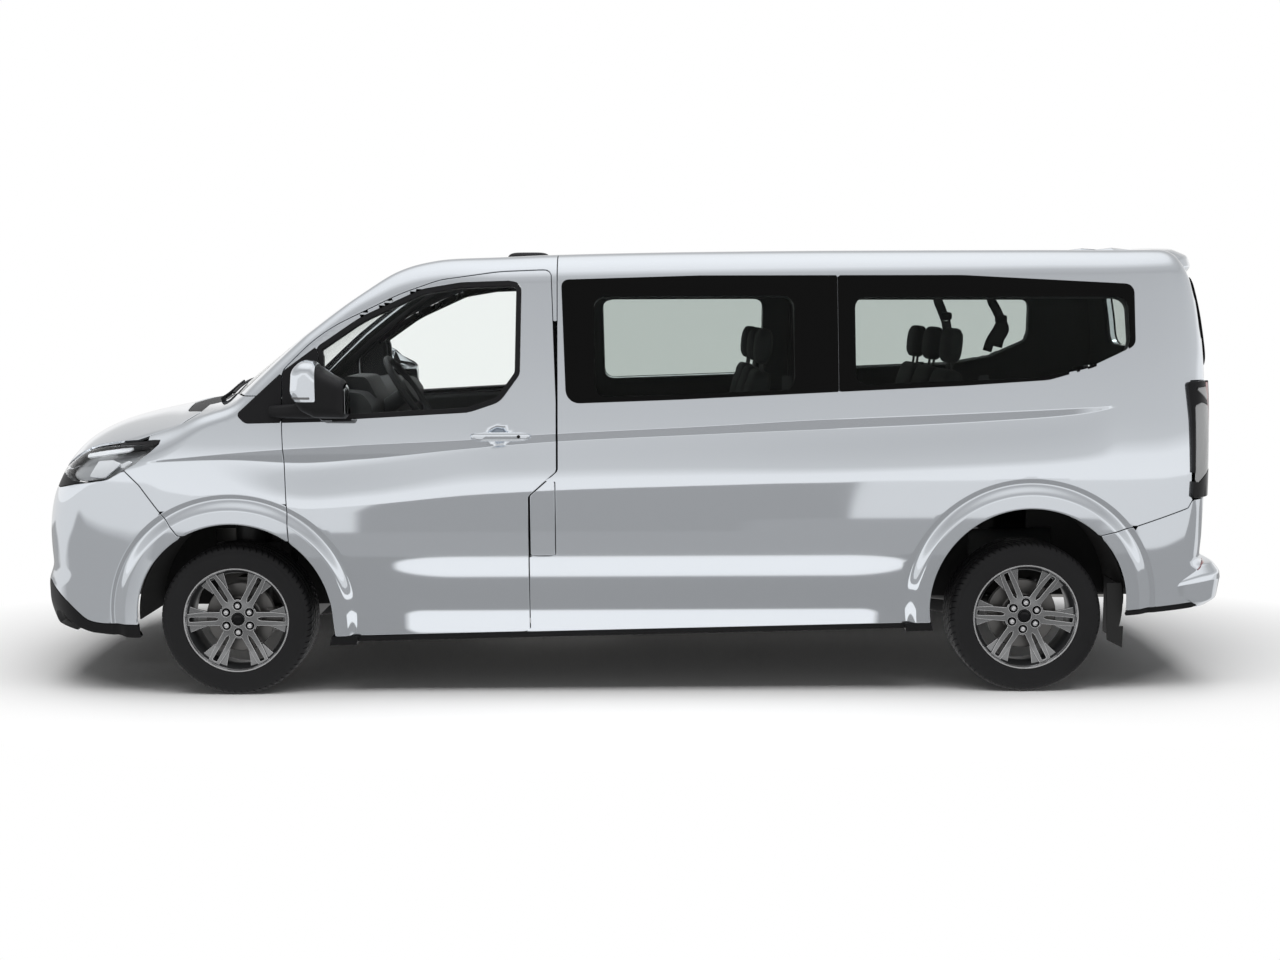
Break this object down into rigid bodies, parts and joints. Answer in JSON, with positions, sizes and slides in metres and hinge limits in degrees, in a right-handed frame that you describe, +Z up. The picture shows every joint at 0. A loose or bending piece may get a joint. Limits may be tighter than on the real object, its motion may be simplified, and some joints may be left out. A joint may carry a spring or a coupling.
{
  "type": "passenger minibus",
  "caption": "Road minibus with hinged front doors, bonnet, tailgate and fuel flap, steered front wheels, seat rows and glazed sides.",
  "frame": {"origin": "on the ground under the middle of the vehicle, on its plane of symmetry", "axes": "+X forward, +Y to the vehicle's left, +Z up"},
  "size_m": [5.45, 2.274, 1.9919],
  "materials": {
    "alloy": "machined and lacquered",
    "belt": "woven",
    "black_plastic": "matt moulded",
    "black_steel": "satin",
    "cast_iron": "as cast",
    "clear_glass": "gloss",
    "dark_glass": "gloss",
    "gloss_black": "gloss",
    "lamp_clear": "gloss",
    "lamp_red": "gloss",
    "paint": "gloss metallic",
    "rubber": "matt",
    "seat_fabric": "woven",
    "steel": "heat-stained",
    "trim": "grained",
    "tyre": "matt",
    "underbody": "satin"
  },
  "bodies": {
    "body": {"body_side_left": "paint", "body_side_right": "paint", "cab_frame": "paint", "cowl": "black_plastic", "dashboard": "trim", "engine": "cast_iron", "exhaust": "steel", "floor_pan": "underbody", "front_bumper": "paint", "front_carrier": "underbody", "front_seats": "seat_fabric", "front_subframe": "black_steel", "front_wings": "paint", "fuel_tank": "black_plastic", "grille": "gloss_black", "headlamps": "lamp_clear", "mud_flaps": "rubber", "rear_axle": "black_steel", "rear_bumper": "paint", "roof_panel": "paint", "roof_pod": "gloss_black", "seat_bases": "trim", "seat_belts": "belt", "second_row_seats": "seat_fabric", "side_glass": "dark_glass", "sill_trims": "black_plastic", "slide_rail": "black_plastic", "sliding_door": "paint", "tail_lamps": "lamp_red", "third_row_seats": "seat_fabric", "wheel_arch_liners": "black_plastic", "windscreen": "clear_glass", "wipers": "black_plastic"},
    "front_door_left": {"front_door_left": "paint", "door_glass_left": "clear_glass", "mirror_left": "gloss_black"},
    "front_door_right": {"front_door_right": "paint", "door_glass_right": "clear_glass", "mirror_right": "gloss_black"},
    "tailgate": {"tailgate": "paint", "tailgate_glass": "dark_glass"},
    "bonnet": {"bonnet": "paint"},
    "fuel_flap": {"fuel_flap": "paint"},
    "knuckle_left": {"knuckle_left": "cast_iron"},
    "knuckle_right": {"knuckle_right": "cast_iron"},
    "steering_wheel": {"steering_wheel": "trim"},
    "wheel_front_left": {"wheel_front_left": "alloy", "tyre_front_left": "tyre"},
    "wheel_front_right": {"wheel_front_right": "alloy", "tyre_front_right": "tyre"},
    "wheel_rear_left": {"wheel_rear_left": "alloy", "tyre_rear_left": "tyre"},
    "wheel_rear_right": {"wheel_rear_right": "alloy", "tyre_rear_right": "tyre"}
  },
  "joints": [
    {"name": "front_door_left_hinge", "type": "hinge", "parent": "body", "child": "front_door_left", "pos_m": [1.468, 1.019, 0.74], "axis": [0, 0, -1], "range_deg": [0, 65]},
    {"name": "front_door_right_hinge", "type": "hinge", "parent": "body", "child": "front_door_right", "pos_m": [1.468, -1.019, 0.74], "axis": [0, 0, 1], "range_deg": [0, 65]},
    {"name": "bonnet_hinge", "type": "hinge", "parent": "body", "child": "bonnet", "pos_m": [1.804, 0, 1.312], "axis": [0, -1, 0], "range_deg": [0, 50]},
    {"name": "tailgate_hinge", "type": "hinge", "parent": "body", "child": "tailgate", "pos_m": [-2.327, 0, 1.986], "axis": [0, 1, 0], "range_deg": [0, 85]},
    {"name": "fuel_flap_hinge", "type": "hinge", "parent": "body", "child": "fuel_flap", "pos_m": [0.298, 1.011, 0.72], "axis": [0, 0, 1], "range_deg": [0, 100]},
    {"name": "steer_left", "type": "hinge", "parent": "body", "child": "knuckle_left", "pos_m": [1.72, 0.79, 0.336], "axis": [0, 0, 1], "range_deg": [-35, 35]},
    {"name": "steer_right", "type": "hinge", "parent": "body", "child": "knuckle_right", "pos_m": [1.72, -0.79, 0.336], "axis": [0, 0, 1], "range_deg": [-35, 35]},
    {"name": "steering_wheel_turn", "type": "hinge", "parent": "body", "child": "steering_wheel", "pos_m": [1.005, 0.45, 1.32], "axis": [-0.829, 0, 0.5592], "range_deg": [-500, 500]},
    {"name": "front_left_wheel_spin", "type": "hinge", "parent": "knuckle_left", "child": "wheel_front_left", "pos_m": [1.72, 0.862, 0.336], "axis": [0, 1, 0], "continuous": true},
    {"name": "front_right_wheel_spin", "type": "hinge", "parent": "knuckle_right", "child": "wheel_front_right", "pos_m": [1.72, -0.862, 0.336], "axis": [0, 1, 0], "continuous": true},
    {"name": "rear_left_wheel_spin", "type": "hinge", "parent": "body", "child": "wheel_rear_left", "pos_m": [-1.78, 0.862, 0.336], "axis": [0, 1, 0], "continuous": true},
    {"name": "rear_right_wheel_spin", "type": "hinge", "parent": "body", "child": "wheel_rear_right", "pos_m": [-1.78, -0.862, 0.336], "axis": [0, 1, 0], "continuous": true}
  ],
  "couplings": [
    {"joint": "steer_right", "follows": "steer_left", "ratio": 1},
    {"joint": "steering_wheel_turn", "follows": "steer_left", "ratio": 14}
  ]
}
